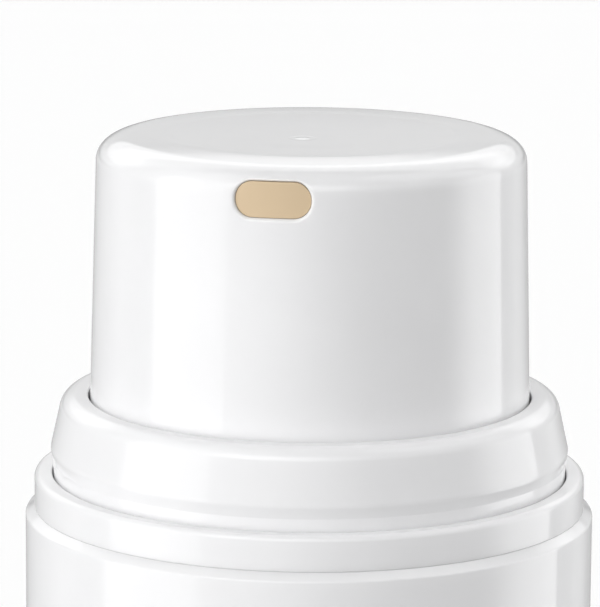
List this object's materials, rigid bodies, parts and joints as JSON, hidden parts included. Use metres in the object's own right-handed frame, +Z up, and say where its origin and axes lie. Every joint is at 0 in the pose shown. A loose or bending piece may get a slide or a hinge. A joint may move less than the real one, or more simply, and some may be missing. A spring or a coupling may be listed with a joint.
{
  "type": "airless pump bottle",
  "caption": "Round airless pump bottle with a dished push button, oval self-closing outlet, conical collar, shoulder ring and a follower piston that rises as it empties.",
  "frame": {"origin": "centre of the standing face at the bottom of the bottle", "axes": "+Z up along the bottle, -Y out of the outlet, +X to the right when facing the outlet"},
  "size_m": [0.04, 0.04, 0.1064],
  "materials": {
    "white_gloss": "glossy moulded polypropylene, white",
    "outlet_beige": "satin beige elastomer",
    "natural_plastic": "natural polypropylene, satin",
    "seal_plastic": "soft natural polyethylene, satin",
    "gasket_rubber": "soft grey elastomer",
    "spring_steel": "drawn stainless wire",
    "valve_glass": "polished glass ball"
  },
  "bodies": {
    "bottle": {"outer_bottle": "white_gloss", "base_cap": "white_gloss", "inner_cylinder": "natural_plastic", "shoulder_ring": "white_gloss", "collar": "white_gloss", "neck_gasket": "gasket_rubber", "pump_housing": "natural_plastic", "ball_cage": "natural_plastic", "housing_cap": "natural_plastic", "return_spring": "spring_steel"},
    "follower": {"follower_piston": "seal_plastic"},
    "inlet_valve": {"inlet_ball": "valve_glass"},
    "rod": {"piston_rod": "natural_plastic"},
    "piston": {"pump_piston": "seal_plastic"},
    "button": {"actuator_shell": "white_gloss", "actuator_core": "natural_plastic", "stem": "natural_plastic", "plug_guide": "natural_plastic", "plug_spring": "spring_steel"},
    "plug": {"outlet_plug": "outlet_beige"}
  },
  "joints": [
    {"name": "press", "type": "slide", "parent": "bottle", "child": "rod", "axis": [0, 0, -1], "range_m": [0, 0.004], "stiffness_N_per_m": 740, "springref_m": -0.011, "deforming": ["return_spring"]},
    {"name": "button_turn", "type": "hinge", "parent": "rod", "child": "button", "pos_m": [0, 0, 0.1], "axis": [0, 0, 1], "continuous": true},
    {"name": "piston_slip", "type": "slide", "parent": "rod", "child": "piston", "axis": [0, 0, 1], "range_m": [0, 0.0005]},
    {"name": "plug_retract", "type": "slide", "parent": "button", "child": "plug", "axis": [0, 1, 0], "range_m": [0, 0.0006], "deforming": ["plug_spring"]},
    {"name": "inlet_lift", "type": "slide", "parent": "bottle", "child": "inlet_valve", "axis": [0, 0, 1], "range_m": [0, 0.0008]},
    {"name": "follower_rise", "type": "slide", "parent": "bottle", "child": "follower", "axis": [0, 0, 1], "range_m": [0, 0.0549]}
  ],
  "couplings": [
    {"joint": "piston_slip", "follows": "press", "ratio": 0.125},
    {"joint": "plug_retract", "follows": "press", "ratio": 0.15}
  ]
}
